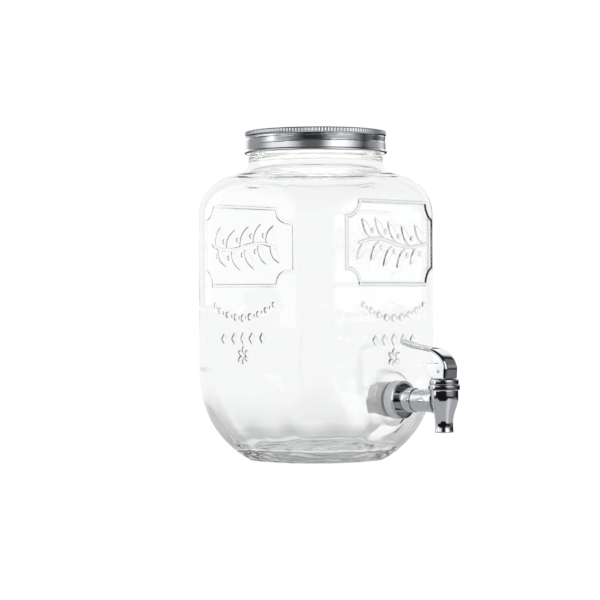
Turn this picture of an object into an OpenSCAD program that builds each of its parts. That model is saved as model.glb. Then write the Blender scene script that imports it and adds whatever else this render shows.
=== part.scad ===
// Glass dispenser jar with a two-piece screw lid and a lever tap.
// Millimetres. Origin: jar axis on the plane the foot stands on. +Z up, the tap points along -Y.

/* [Jar] */
// Half the distance between two opposite flat faces
face_half = 77.2; // [74:0.2:80]
// Half the distance between two opposite rounded corners
corner_half = 91.9; // [88:0.2:95]
// Glass thickness in the walls
wall = 4; // [3.2:0.1:4.6]
// Height at which the lower corners start to curve in
heel_z = 66; // [60:1:72]
// Height at which the lower faces start to curve in
face_heel_z = 50; // [46:1:54]
// Height at which the shoulders start to curve in
shoulder_z = 191.5; // [180:0.5:196]
// Radius of the shoulder at the corners
shoulder_r = 31; // [29:0.5:33]
// Height of the thick bottom's inner floor
floor_z = 9.5; // [7:0.5:13]
// Radius of the foot's inner edge, where the push-up starts
foot_in_r = 44.5; // [40:0.5:48]
// Height of the push-up under the bottom
push_up = 3.2; // [1:0.2:5]

/* [Neck and lid] */
// Outer radius of the glass neck behind its threads
neck_r = 50.9; // [50.6:0.1:51.2]
// Radius of the mouth
mouth_r = 46.8; // [44:0.1:47.6]
// Height of the rim
rim_z = 254.8; // [252:0.2:256]
// Pitch of the screw thread
pitch = 4.5; // [4.2:0.1:4.8]
// Outer radius of the lid band's bottom bead
bead_r = 56; // [55.2:0.1:57]
// Inner radius of the lid band
band_in_r = 53.8; // [53.6:0.1:54]

/* [Tap] */
// Height of the tap's inlet axis
tap_z = 48.5; // [46:0.5:52]
// Distance from the jar's axis to the face of the tap pad
pad_y = 77.8; // [77.4:0.1:78.4]
// Radius of the tap pad
pad_r = 20.5; // [18:0.5:23]
// Radius of the hole through the glass
hole_r = 8; // [7.9:0.1:8.4]
// Distance from the jar's axis to the barrel's axis
barrel_y = 124.9; // [122:0.1:130]
// Radius of the upper barrel
barrel_r = 10.7; // [10.2:0.1:11.2]
// Radius of the spout's bore
spout_r = 4.5; // [3.5:0.1:5]
// Height of the spout's lower end
spout_z = 24.9; // [22:0.1:28]
// Height of the lever's pin
pin_z = 71; // [70.6:0.1:71.4]
// Width of the lever
lever_w = 15.7; // [14:0.1:17]

/* [Hidden] */
$fn = 96;
SEG = 48;            // points round the jar
q = sqrt(2);
arc_c = corner_half - 75;             // radius at which the heel arcs are centred
fillet_r = 9.5;                       // hollow curve between shoulder and neck
collar_r = 52.6;                      // neck just above that curve
fil_z = 233.8;                        // where the hollow curve meets the neck
fil_c = collar_r + fillet_r;          // radius at which the hollow curve is centred
in_fil = fillet_r + wall;             // the same curve on the inside
top_z = shoulder_z + shoulder_r;      // height at which the shoulder arcs would level out
sh_c = corner_half - shoulder_r;      // radius at which the shoulder arcs are centred
seat_y = 72.1;                        // inner seat of the washer, from the jar's axis
flange_y = 85.5;                      // back of the tap's flange
joint_y = 98.3;                       // where the shank ends and the body starts
shank_r = 7.6;
chamber_r = 7.6;
seat_z = 43.5;                        // valve seat inside the barrel
spring_top = 53.5;
run = 0.05;                           // running fit on a radius

// ---- the jar's section: a square of half width f with corners rounded so that they reach d ----
function fold(t) = abs(t - 90 * round(t / 90));
function corner_r(f, d) = (q * f - d) / (q - 1);
function rho(f, d, t) = let (r = corner_r(f, d), c = f - r, u = fold(t), k = c * (cos(u) + sin(u)))
    f * tan(u) <= c ? f / cos(u) : k + sqrt(k * k - 2 * c * c + r * r);
function ring(f, d, z) = [for (i = [0 : SEG - 1]) let (t = i * 360 / SEG, r = rho(f, d, t))
    [r * cos(t), r * sin(t), z]];

// w is how far the surface lies inside the outer one
function heel_d(z, w) = z >= heel_z ? corner_half - w
    : arc_c + sqrt(pow(75 - w, 2) - pow(heel_z - z, 2));
function heel_f(z, w) = z >= face_heel_z ? face_half - w
    : arc_c + sqrt(pow(face_half - arc_c - w, 2) - pow(face_heel_z - z, 2));
function top_f_r() = face_half - sh_c;            // shoulder radius over a face
function sh_d(z, w) = sh_c + sqrt(max(0, pow(shoulder_r - w, 2) - pow(z - shoulder_z, 2)));
function sh_f(z, w) = let (z0 = top_z - top_f_r()) z <= z0 ? face_half - w
    : sh_c + (top_f_r() - w) * sqrt(max(0, 1 - pow((z - z0) / (top_f_r() - w), 2)));

outer_rings = concat(
    [ring(foot_in_r - 3, foot_in_r - 3, 1.6), ring(foot_in_r, foot_in_r, 0)],
    [for (i = [0 : 12]) let (z = heel_z * (1 - cos(i * 7.5))) ring(heel_f(z, 0), heel_d(z, 0), z)],
    [for (i = [0 : 8]) let (z = shoulder_z + shoulder_r * sin(i * 9.25)) ring(sh_f(z, 0), sh_d(z, 0), z)],
    [for (i = [0 : 4]) let (r = fil_c - fillet_r * cos(72 - i * 18)) ring(r, r, fil_z - fillet_r * sin(72 - i * 18))],
    [ring(collar_r, collar_r, fil_z + 0.4)]);
inner_rings = concat(
    [let (r = fil_c - in_fil) ring(r, r, fil_z + 0.4)],
    [for (i = [0 : 4]) let (r = fil_c - in_fil * cos(i * 18)) ring(r, r, fil_z - in_fil * sin(i * 18))],
    [for (i = [1 : 8]) let (z = shoulder_z + (shoulder_r - wall) * cos(i * 11.25)) ring(sh_f(z, wall), sh_d(z, wall), z)],
    [for (i = [0 : 9]) let (z = floor_z + (heel_z - floor_z) * (1 - cos(90 - i * 10))) ring(heel_f(z, wall), heel_d(z, wall), z)],
    [ring(30, 30, floor_z + 0.9)]);

module closed_shell(rings, low, high) {
    n = len(rings);
    polyhedron(
        concat([for (r = rings, p = r) p], [low, high]),
        concat(
            [for (k = [0 : n - 2], i = [0 : SEG - 1]) let (a = k * SEG, b = a + SEG, j = (i + 1) % SEG)
                [a + i, b + i, b + j, a + j]],
            [for (i = [0 : SEG - 1]) [n * SEG, i, (i + 1) % SEG]],
            [for (i = [0 : SEG - 1]) let (a = (n - 1) * SEG) [n * SEG + 1, a + (i + 1) % SEG, a + i]]),
        convexity = 6);
}

// ---- a screw ridge: a four-sided bar that climbs round the Z axis ----
module ridge(r_root, r_crest, z0, from, to, root_w, crest_w) {
    n = round((to - from) / 10);
    pts = [for (i = [0 : n]) let (t = from + (to - from) * i / n, z = z0 + pitch * t / 360,
                                  e = min(1, min(i, n - i) / 3 + 0.15), rc = r_root + (r_crest - r_root) * e)
        for (p = [[r_root, -root_w / 2], [rc, -crest_w / 2], [rc, crest_w / 2], [r_root, root_w / 2]])
            [p[0] * cos(t), p[0] * sin(t), z + p[1]]];
    flip = r_crest < r_root;
    body = concat(
        [for (i = [0 : n - 1], k = [0 : 3]) let (a = i * 4, b = a + 4, m = (k + 1) % 4)
            [a + k, a + m, b + m, b + k]],
        [[3, 2, 1, 0]], [[for (k = [0 : 3]) n * 4 + k]]);
    polyhedron(pts, flip ? [for (f = body) [for (k = [len(f) - 1 : -1 : 0]) f[k]]] : body, convexity = 4);
}

// ---- turns a shape built along +Z so that it lies on the tap's inlet axis, z becoming the distance from the jar's axis ----
module on_inlet() { translate([0, 0, tap_z]) rotate([90, 0, 0]) children(); }
module on_barrel() { translate([0, -barrel_y, 0]) children(); }
module tube(r_out, r_in, z0, z1) {
    translate([0, 0, z0]) difference() {
        cylinder(r = r_out, h = z1 - z0);
        translate([0, 0, -1]) cylinder(r = r_in, h = z1 - z0 + 2);
    }
}
module torus(r_mid, r_sec) { rotate_extrude() translate([r_mid, 0]) circle(r = r_sec, $fn = 32); }

// ---- glass ----
module glass_jar() {
    color([0.86, 0.9, 0.9, 0.35]) difference() {
        union() {
            closed_shell(concat(outer_rings, inner_rings), [0, 0, push_up], [0, 0, floor_z + 1.6]);
            // neck with its bead, the groove over it and the rounded rim
            rotate_extrude() polygon([[mouth_r, fil_z - 0.5], [collar_r, fil_z - 0.5], [collar_r + 0.2, fil_z + 0.4],
                [collar_r + 0.2, fil_z + 2], [51.7, fil_z + 3.2], [51.7, fil_z + 4.4], [52.3, fil_z + 5],
                [52.3, fil_z + 6], [neck_r, fil_z + 7], [neck_r, rim_z - 1],
                [neck_r - 0.8, rim_z], [mouth_r + 0.8, rim_z], [mouth_r, rim_z - 0.8]]);
            ridge(neck_r - 0.6, 52.5, 241.95, 200, 650, 2.8, 1);
            // flat pad for the tap
            on_inlet() translate([0, 0, 72]) cylinder(r = pad_r, h = pad_y - 72);
        }
        on_inlet() translate([0, 0, 50]) cylinder(r = hole_r, h = 40);
        on_inlet() translate([0, 0, 55]) cylinder(r = 14.5, h = seat_y - 55);
    }
}

// ---- lid ----
module lid_band() {
    color("silver") union() {
        rotate_extrude() polygon([[band_in_r, 239.7], [54.4, 239.4], [55.4, 239.5], [bead_r, 240],
            [bead_r, 240.9], [55.3, 241.6], [54.8, 241.9], [54.8, 252.4], [55.4, 253.2], [55.4, 256.2],
            [54.6, 257], [49, 257], [48.5, 256.5], [band_in_r, 256.5]]);
        ridge(band_in_r + 0.3, 51.8, 244.2, 160, 690, 2.9, 1);
    }
}
module lid_disc() {
    color("lightgray") union() {
        translate([0, 0, rim_z + 1]) cylinder(r = 53.3, h = 0.6);
        translate([0, 0, rim_z + 1.2]) cylinder(r = 46, h = 0.8);
    }
}
module lid_seal() { color("whitesmoke") tube(51, 45.8, rim_z, rim_z + 1); }

// ---- tap, fixed pieces ----
module tap_shank() {
    y0 = 54.6;
    color([0.8, 0.81, 0.83]) on_inlet() difference() {
        rotate_extrude() polygon(concat(
            [[spout_r, y0], [7, y0], [shank_r, y0 + 0.6]],
            [for (i = [0 : 10]) for (p = [[shank_r, 0.9], [6.9, 1.3], [6.9, 1.8], [shank_r, 2.2]]) [p[0], y0 + p[1] + i * 2.2]],
            [[shank_r, flange_y], [14.45, flange_y], [14.45, flange_y + 1.9], [13.7, flange_y + 2.1],
             [11.6, flange_y + 1.2], [9.35, flange_y + 1.1], [9.35, joint_y - 0.3], [9.05, joint_y], [spout_r, joint_y]]));
        translate([0, 0, 90]) cylinder(r = 7.2, h = 20);
    }
}
module outer_washer() { color([0.74, 0.75, 0.76]) on_inlet() tube(14.6, 8.1, pad_y, flange_y); }
module inner_washer() { color([0.8, 0.8, 0.81]) on_inlet() tube(13.4, 7.9, seat_y - 6.5, seat_y); }
module lock_nut() {
    color([0.83, 0.84, 0.85]) on_inlet() difference() {
        translate([0, 0, seat_y - 15.1]) cylinder(r = 11.7, h = 8.6, $fn = 6);
        translate([0, 0, 50]) cylinder(r = shank_r + 0.1, h = 30);
    }
}
module body_o_ring() { color("black") on_inlet() translate([0, 0, 94]) torus(6.5, 0.65); }
module tap_body() {
    color([0.8, 0.81, 0.83]) difference() {
        union() {
            // barrel and spout
            on_barrel() rotate_extrude() polygon([[0, spout_z], [6.7, spout_z], [7.05, spout_z + 0.4], [6.75, 29],
                [6.7, 32.8], [6.95, 35.2], [7.5, 38.2], [8.55, 41.8], [9.7, 45.2], [10.42, 48.2], [10.68, 50.8],
                [barrel_r, 52.4], [barrel_r, 56.6], [9.3, 56.6], [9.3, 60.6], [0, 60.6]]);
            // inlet tube with its spigot and the groove for the ring
            on_inlet() rotate_extrude() polygon([[0, 90.3], [7.1, 90.3], [7.1, 93.2], [5.8, 93.2], [5.8, 94.8],
                [7.1, 94.8], [7.1, joint_y], [8.6, joint_y], [8.6, 118], [0, 118]]);
        }
        on_inlet() translate([0, 0, 80]) cylinder(r = spout_r, h = 40);
        on_barrel() translate([0, 0, seat_z]) cylinder(r = chamber_r, h = 30);
        on_barrel() translate([0, 0, 10]) cylinder(r = spout_r, h = 40);
        // seat of the collar, which notches the top of the inlet tube
        on_barrel() tube(12.2, 9.3, 56.6, 62);
    }
}
module tap_collar() { color([0.8, 0.81, 0.83]) on_barrel() tube(11.85, 9.6, 56.6, 60.9); }
module tap_bonnet() {
    color([0.8, 0.81, 0.83]) on_barrel() difference() {
        rotate_extrude() polygon([[0, spring_top], [7.5, spring_top], [7.5, 60.9], [11, 60.9],
            [11, 64.6], [10.5, 65.1], [0, 65.1]]);
        translate([0, 0, 40]) cylinder(r = 1.75 + run, h = 40);
        translate([0, 0, 40]) cylinder(r = 3.45, h = spring_top + 1.7 - 40);
    }
}
module stem_seal() { color("black") on_barrel() translate([0, 0, spring_top + 0.85]) torus(2.6, 0.78); }

// ---- valve ----
module valve_stem() {
    color([0.7, 0.7, 0.72]) on_barrel() difference() {
        union() {
            translate([0, 0, 44.4]) cylinder(r = 1.75, h = pin_z - 44.4);
            translate([0, 0, 44.8]) cylinder(r = 2.6, h = 0.8);
            translate([-1.9, 0, pin_z]) rotate([0, 90, 0]) cylinder(r = 3.4, h = 3.8);
        }
        translate([-5, 0, pin_z]) rotate([0, 90, 0]) cylinder(r = 1.25 + run, h = 10);
    }
}
module seat_cup() {
    color([0.85, 0.86, 0.87]) on_barrel() rotate_extrude() polygon([[0, 42.2], [3.2, 42.2], [3.9, seat_z],
        [6.2, seat_z], [6.2, 46.4], [5.8, 46.8], [1.82, 46.8], [1.82, 45.7], [2.7, 45.7], [2.7, 44.6], [1.85, 44.6],
        [1.85, 44.1], [0, 44.1]]);
}
module spring_washer() { color([0.75, 0.75, 0.77]) on_barrel() tube(6, 1.85, 46.8, 47.4); }
module return_spring() {
    wire = 0.4; r = 4.9; turns = 4.5; n = 72; sides = 8;
    z0 = 47.4 + wire + 0.03; z1 = spring_top - wire - 0.03;
    // the end turns lie closer, as ground ends do
    pts = [for (i = [0 : n]) let (u = i / n, t = u * turns * 360, s = u - 0.07 * sin(720 * u), z = z0 + (z1 - z0) * s)
        for (k = [0 : sides - 1]) let (b = k * 360 / sides, rr = r + wire * cos(b)) [rr * cos(t), rr * sin(t), z + wire * sin(b)]];
    color("gray") on_barrel() polyhedron(pts, concat(
        [for (i = [0 : n - 1], k = [0 : sides - 1]) let (a = i * sides, b = a + sides, m = (k + 1) % sides)
            [a + k, a + m, b + m, b + k]],
        [[for (k = [sides - 1 : -1 : 0]) k]], [[for (k = [0 : sides - 1]) n * sides + k]]), convexity = 8);
}

// ---- lever: a bent strip with a web and a fork under it; outlines run in (distance from jar axis, height) ----
function bez(a, b, c, d, t) = pow(1 - t, 3) * a + 3 * pow(1 - t, 2) * t * b + 3 * (1 - t) * t * t * c + t * t * t * d;
leg_y = barrel_y + 7.7;
function arm(off) = [for (i = [0 : 10]) bez([86.2, 94.6 - off], [93, 91.2 - off], [106, 89.4 - off], [117.3, 87.9 - off], i / 10)];
function bend(off) = [for (i = [1 : 10]) bez([117.3, 87.9 - off], [125, 86.3 - off], [leg_y - 0.6 - off, 80.5], [leg_y - off, 73], i / 10)];
foot_z = 65.4;
strip_2d = let (o = concat(arm(0), bend(0), [[leg_y, foot_z + 0.3]]), n = concat(arm(1.5), bend(1.5), [[leg_y - 1.5, foot_z + 0.3]]))
    concat(o, [for (i = [len(n) - 1 : -1 : 0]) n[i]]);
web_2d = concat(
    [for (i = [8 : 10]) arm(0.6)[i]], bend(0.6), [[leg_y - 0.6, foot_z], [121.4, foot_z]],
    [for (i = [1 : 5]) [121.4 - 6.6 * sin(i * 18), foot_z + 6.6 - 6.6 * cos(i * 18)]],
    [[114.8, 76.8], [124.6, 76.8]],
    [for (i = [1 : 6]) bez([124.6, 76.8], [121.5, 79.4], [118.6, 85.4], [110.4, 87.4], i / 6)]);
// stands an outline in the tap's vertical plane, w wide
module upright(w) { rotate([90, 0, 0]) rotate([0, -90, 0]) translate([0, 0, -w / 2]) linear_extrude(w) children(); }
module lever() {
    color([0.8, 0.81, 0.83]) difference() {
        union() {
            intersection() {
                upright(lever_w) polygon(strip_2d);
                // rounded tip seen from above
                translate([0, 0, 60]) linear_extrude(40) union() {
                    translate([-lever_w / 2, -140]) square([lever_w, 140 - 86.2 - 6.5]);
                    translate([-lever_w / 2 + 6.5, -140]) square([lever_w - 13, 140 - 86.2]);
                    for (s = [-1, 1]) translate([s * (lever_w / 2 - 6.5), -86.2 - 6.5]) circle(r = 6.5);
                }
            }
            upright(lever_w - 1.8) polygon(web_2d);
        }
        // fork slot for the stem's eye
        translate([-2.2, -130.2, 60]) cube([4.4, 20, 18.4]);
        translate([-20, -barrel_y, pin_z]) rotate([0, 90, 0]) cylinder(r = 1.25 + run, h = 40);
    }
}
module lever_pin() {
    color([0.7, 0.7, 0.72]) translate([-6.8, -barrel_y, pin_z]) rotate([0, 90, 0]) cylinder(r = 1.25, h = 13.6);
}

glass_jar();
lid_band();
lid_disc();
lid_seal();
tap_shank();
outer_washer();
inner_washer();
lock_nut();
body_o_ring();
tap_body();
tap_collar();
tap_bonnet();
stem_seal();
valve_stem();
seat_cup();
spring_washer();
return_spring();
lever();
lever_pin();
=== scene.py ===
import bpy
import bmesh
import math
import numpy as np
from mathutils import Vector, Matrix


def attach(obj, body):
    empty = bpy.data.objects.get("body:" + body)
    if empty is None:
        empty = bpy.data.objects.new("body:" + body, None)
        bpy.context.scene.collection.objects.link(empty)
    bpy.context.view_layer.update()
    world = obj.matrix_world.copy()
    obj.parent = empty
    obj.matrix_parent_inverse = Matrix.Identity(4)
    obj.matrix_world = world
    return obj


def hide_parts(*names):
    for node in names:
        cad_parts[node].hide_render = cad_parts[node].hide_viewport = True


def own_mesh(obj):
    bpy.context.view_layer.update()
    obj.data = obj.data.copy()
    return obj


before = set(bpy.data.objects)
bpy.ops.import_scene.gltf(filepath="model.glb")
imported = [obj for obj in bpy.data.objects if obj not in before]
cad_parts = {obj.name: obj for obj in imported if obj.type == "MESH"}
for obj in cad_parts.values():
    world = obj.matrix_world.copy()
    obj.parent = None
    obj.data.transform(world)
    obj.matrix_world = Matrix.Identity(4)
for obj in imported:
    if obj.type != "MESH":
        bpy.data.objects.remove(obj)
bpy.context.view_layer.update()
MM = 0.001
Q2 = math.sqrt(2)

# ------------------------------------------------------------------ helpers


def obj_from(name, verts, faces, smooth=35.0):
    """verts in millimetres. The normals are made to point outwards."""
    me = bpy.data.meshes.new(name)
    me.from_pydata([tuple(float(c) * MM for c in v) for v in verts], [], [tuple(f) for f in faces])
    me.validate()
    bm = bmesh.new()
    bm.from_mesh(me)
    bmesh.ops.recalc_face_normals(bm, faces=bm.faces)
    bm.to_mesh(me)
    bm.free()
    ob = bpy.data.objects.new(name, me)
    bpy.context.scene.collection.objects.link(ob)
    soften(ob, smooth)
    return ob


def soften(ob, angle):
    me = ob.data
    me.polygons.foreach_set("use_smooth", [True] * len(me.polygons))
    if angle is not None:
        me.set_sharp_from_angle(angle=math.radians(angle))
    me.update()


def bake(ob):
    """Applies the object's modifiers."""
    dg = bpy.context.evaluated_depsgraph_get()
    me = bpy.data.meshes.new_from_object(ob.evaluated_get(dg))
    old = ob.data
    ob.modifiers.clear()
    ob.data = me
    bpy.data.meshes.remove(old)


def boolean(ob, other, op, angle=35.0, solver="MANIFOLD"):
    m = ob.modifiers.new("b", "BOOLEAN")
    m.operation = op
    m.object = other
    m.solver = solver
    n = len(ob.data.polygons)
    bpy.context.view_layer.update()
    bake(ob)
    if len(ob.data.polygons) == 0 and n:
        raise RuntimeError("boolean left nothing of " + ob.name)
    me = other.data
    bpy.data.objects.remove(other)
    bpy.data.meshes.remove(me)
    soften(ob, angle)


def fillet(pts, radii, n=5):
    """An open or closed outline with its corners rounded. radii holds one number for all, or one for each point; 0 keeps a corner."""
    out = []
    k = len(pts)
    for i, p in enumerate(pts):
        r = radii[i] if hasattr(radii, "__len__") else radii
        if r <= 0:
            out.append(tuple(p))
            continue
        a, b = np.array(pts[i - 1], float), np.array(pts[(i + 1) % k], float)
        p = np.array(p, float)
        u, v = a - p, b - p
        lu, lv = np.linalg.norm(u), np.linalg.norm(v)
        u, v = u / lu, v / lv
        ang = math.acos(max(-1, min(1, float(u @ v))))
        if ang > math.pi - 0.05 or ang < 0.05:
            out.append(tuple(p))
            continue
        t = min(r / math.tan(ang / 2), 0.48 * lu, 0.48 * lv)
        r = t * math.tan(ang / 2)
        c = p + (u + v) / np.linalg.norm(u + v) * (r / math.sin(ang / 2))
        s, e = p + u * t - c, p + v * t - c
        for j in range(n + 1):
            w = j / n
            q = s * math.sin((1 - w) * (math.pi - ang)) + e * math.sin(w * (math.pi - ang))
            q = q / np.linalg.norm(q) * r
            out.append(tuple(c + q))
    return out


def spline(pts, n):
    """Catmull-Rom through the points, n steps to each span."""
    p = [np.array(x, float) for x in pts]
    p = [2 * p[0] - p[1]] + p + [2 * p[-1] - p[-2]]
    out = []
    for i in range(1, len(p) - 2):
        for j in range(n):
            t = j / n
            out.append(tuple(0.5 * ((2 * p[i]) + (-p[i - 1] + p[i + 1]) * t + (2 * p[i - 1] - 5 * p[i] + 4 * p[i + 1] - p[i + 2]) * t * t
                                    + (-p[i - 1] + 3 * p[i] - 3 * p[i + 1] + p[i + 2]) * t ** 3)))
    out.append(tuple(p[-2]))
    return out


def lathe(name, prof, n=128, place=lambda x, y, z: (x, y, z), angle=35.0, bump=None):
    """prof is a closed loop of (radius, height), none on the axis unless its radius is 0. bump(theta, r, h) adds to the radius."""
    verts, faces, rows = [], [], []
    for r, h in prof:
        if r < 1e-6:
            rows.append([len(verts)] * n)
            verts.append(place(0.0, 0.0, h))
            continue
        row = []
        for i in range(n):
            t = 2 * math.pi * i / n
            rr = r + (bump(t, r, h) if bump else 0.0)
            row.append(len(verts))
            verts.append(place(rr * math.cos(t), rr * math.sin(t), h))
        rows.append(row)
    m = len(rows)
    for k in range(m):
        a, b = rows[k], rows[(k + 1) % m]
        for i in range(n):
            j = (i + 1) % n
            f = []
            for v in (a[i], a[j], b[j], b[i]):
                if v not in f:
                    f.append(v)
            if len(f) > 2:
                faces.append(f)
    return obj_from(name, verts, faces, angle)


TAP_Z, BARREL = 48.5, 124.9


def inlet(x, y, h):
    """Lathe place: along the tap's inlet axis, h being the distance from the jar's axis."""
    return (x, -h, TAP_Z + y)


def barrel(x, y, h):
    return (x, y - BARREL, h)


def prism(name, outline, w, bevel=0.0, segs=3):
    """An outline in (distance from the jar's axis, height) stood upright, w wide across X."""
    n = len(outline)
    verts = [(-w / 2, -a, z) for a, z in outline] + [(w / 2, -a, z) for a, z in outline]
    faces = [list(range(n)), list(range(2 * n - 1, n - 1, -1))] + [[i, (i + 1) % n, n + (i + 1) % n, n + i] for i in range(n)]
    ob = obj_from(name, verts, faces, 35)
    if bevel:
        m = ob.modifiers.new("v", "BEVEL")
        m.width = bevel * MM
        m.segments = segs
        m.limit_method = "ANGLE"
        m.angle_limit = math.radians(50)
        bpy.context.view_layer.update()
        bake(ob)
        soften(ob, 35)
    return ob


def box_obj(name, lo, hi):
    x0, y0, z0 = lo
    x1, y1, z1 = hi
    v = [(x, y, z) for x in (x0, x1) for y in (y0, y1) for z in (z0, z1)]
    f = [(0, 1, 3, 2), (4, 6, 7, 5), (0, 4, 5, 1), (2, 3, 7, 6), (0, 2, 6, 4), (1, 5, 7, 3)]
    return obj_from(name, v, f, 30)


# ------------------------------------------------------------------ the jar's shape, as in the construction

FACE, DIAG, WALL = 77.2, 91.9, 4.0
HEEL_Z, FHEEL_Z, SH_Z, SH_R = 66.0, 50.0, 191.5, 31.0
ARC_C = DIAG - 75
SH_C = DIAG - SH_R
TOP_Z = SH_Z + SH_R
FIL_R, COLLAR_R, FIL_Z = 9.5, 52.6, 233.8
FIL_C = COLLAR_R + FIL_R
NECK_R, RIM_Z, MOUTH_R, PITCH = 50.9, 254.8, 46.8, 4.5
TOP_FR = FACE - SH_C


def heel_d(z, w):
    return DIAG - w if z >= HEEL_Z else ARC_C + math.sqrt(max(0, (75 - w) ** 2 - (HEEL_Z - z) ** 2))


def heel_f(z, w):
    return FACE - w if z >= FHEEL_Z else ARC_C + math.sqrt(max(0, (FACE - ARC_C - w) ** 2 - (FHEEL_Z - z) ** 2))


def sh_d(z, w):
    return SH_C + math.sqrt(max(0, (SH_R - w) ** 2 - (z - SH_Z) ** 2))


def sh_f(z, w):
    z0 = TOP_Z - TOP_FR
    return FACE - w if z <= z0 else SH_C + (TOP_FR - w) * math.sqrt(max(0, 1 - ((z - z0) / (TOP_FR - w)) ** 2))


def rho(f, d, t):
    """Radius of the rounded square at the angles t."""
    u = np.abs(t - (math.pi / 2) * np.round(t / (math.pi / 2)))
    r = (Q2 * f - d) / (Q2 - 1)
    c = f - r
    k = c * (np.cos(u) + np.sin(u))
    return np.where(f * np.tan(u) <= c, f / np.cos(u), k + np.sqrt(np.maximum(0, k * k - 2 * c * c + r * r)))


RC = (Q2 * FACE - DIAG) / (Q2 - 1)
CC = FACE - RC


def s_to_u(s):
    """Angle from the face's middle for an arc length s along the mid section, s to a corner's middle at most."""
    s = np.asarray(s, float)
    a = np.abs(s)
    al = np.maximum(0, a - CC) / RC
    x = np.where(a <= CC, a, CC + RC * np.sin(al))
    y = np.where(a <= CC, FACE, CC + RC * np.cos(al))
    return np.sign(s) * np.arctan2(x, y)


S_CORNER = CC + RC * math.pi / 4

# ---- the raised ornament on the front and back faces: a panel with scooped corners, a leafy sprig, a swag of beads, lozenges and a rosette


def ridge_h(d, w, h):
    """A rounded ridge of half width w and height h, where d is the distance from its line."""
    return h * np.clip(1 - (d / w) ** 2, 0, None) ** 1.25


def pillow(d, w, h):
    """A solid raised shape with a rounded shoulder w wide, where d is the distance inwards from its outline."""
    q = np.clip(d / w, 0, 1)
    return h * (1 - (1 - q) ** 2)


def local(s, z, cs, cz, ang):
    ca, sa = math.cos(ang), math.sin(ang)
    return (s - cs) * ca + (z - cz) * sa, -(s - cs) * sa + (z - cz) * ca


def leaf(s, z, cs, cz, ang, ln, wd, w=1.5, h=1.0):
    """A solid pointed leaf."""
    x, y = local(s, z, cs, cz, ang)
    t = np.clip(x / ln, 0, 1)
    half = wd / 2 * np.sin(math.pi * t ** 0.8) ** 0.85
    return np.where((x > 0) & (x < ln), pillow(half - np.abs(y), w, h), 0)


def stroke(s, z, pts, w=1.3, h=1.0):
    """A raised line through the points."""
    d = np.full_like(s, 99.0)
    for (x0, y0), (x1, y1) in zip(pts, pts[1:]):
        vx, vy = x1 - x0, y1 - y0
        t = np.clip(((s - x0) * vx + (z - y0) * vy) / (vx * vx + vy * vy), 0, 1)
        d = np.minimum(d, np.sqrt((s - x0 - t * vx) ** 2 + (z - y0 - t * vy) ** 2))
    return ridge_h(d, w, h)


def ornament(s, z):
    h = np.zeros_like(s)
    zc = 168.0
    # panel with scooped corners, a plain raised line
    hx, hz, sc = 52.5, 31.5, 12.0
    dx, dz = np.abs(s) - hx, np.abs(z - zc) - hz
    outside = np.sqrt(np.maximum(dx, 0) ** 2 + np.maximum(dz, 0) ** 2)
    inside = np.minimum(np.maximum(dx, dz), 0)
    d = np.maximum(outside + inside, sc - np.sqrt(dx ** 2 + dz ** 2))
    h = np.maximum(h, ridge_h(d, 1.6, 1.0))
    # sprig: a waving stem with leaves on both sides and berries between them
    pts = [(x, zc + 3.0 * math.sin(x / 40 * math.pi)) for x in np.linspace(-41, 41, 43)]
    h = np.maximum(h, stroke(s, z, pts, 1.5, 0.9))
    for i in range(5):
        cs = -36 + i * 16.0
        cz = zc + 3.0 * math.sin(cs / 40 * math.pi)
        ln = 20.5 - 1.2 * abs(i - 2)
        h = np.maximum(h, leaf(s, z, cs, cz + 1.5, math.radians(54), ln, 7.0))
        h = np.maximum(h, leaf(s, z, cs + 5.5, cz - 1.5, math.radians(-54), ln, 7.0))
        if i < 4:
            for sx, sg in ((13.5, 1), (3.0, -1)):
                bz = zc + 3.0 * math.sin((cs + sx) / 40 * math.pi) + sg * 6.5
                h = np.maximum(h, pillow(2.3 - np.sqrt((s - cs - sx) ** 2 + (z - bz) ** 2), 2.0, 0.95))
    # swag of beads, small at its ends
    n = 9
    for i in range(n):
        t = -1 + 2 * i / (n - 1)
        cs, cz = 37 * t, 110.5 + 10.5 * t * t
        r = 3.3 - 0.9 * abs(t)
        h = np.maximum(h, pillow(r - np.sqrt((s - cs) ** 2 + (z - cz) ** 2), 1.9, 1.0))
        if i < n - 1:
            t2 = t + 1 / (n - 1)
            h = np.maximum(h, pillow(1.5 - np.sqrt((s - 37 * t2) ** 2 + (z - 110.5 - 10.5 * t2 * t2) ** 2), 1.3, 0.8))
    # lozenges
    for i in range(-2, 3):
        e = 3.6 - 0.3 * abs(i) - (np.abs(s - i * 11.5) * 0.85 + np.abs(z - 94.0) * 0.62)
        h = np.maximum(h, pillow(e, 1.8, 1.0))
    # rosette
    for i in range(6):
        a = math.radians(30 + 60 * i)
        h = np.maximum(h, leaf(s, z, 1.6 * math.cos(a), 80.0 + 1.6 * math.sin(a), a, 6.8, 4.4, 1.4, 0.95))
    return h


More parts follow.
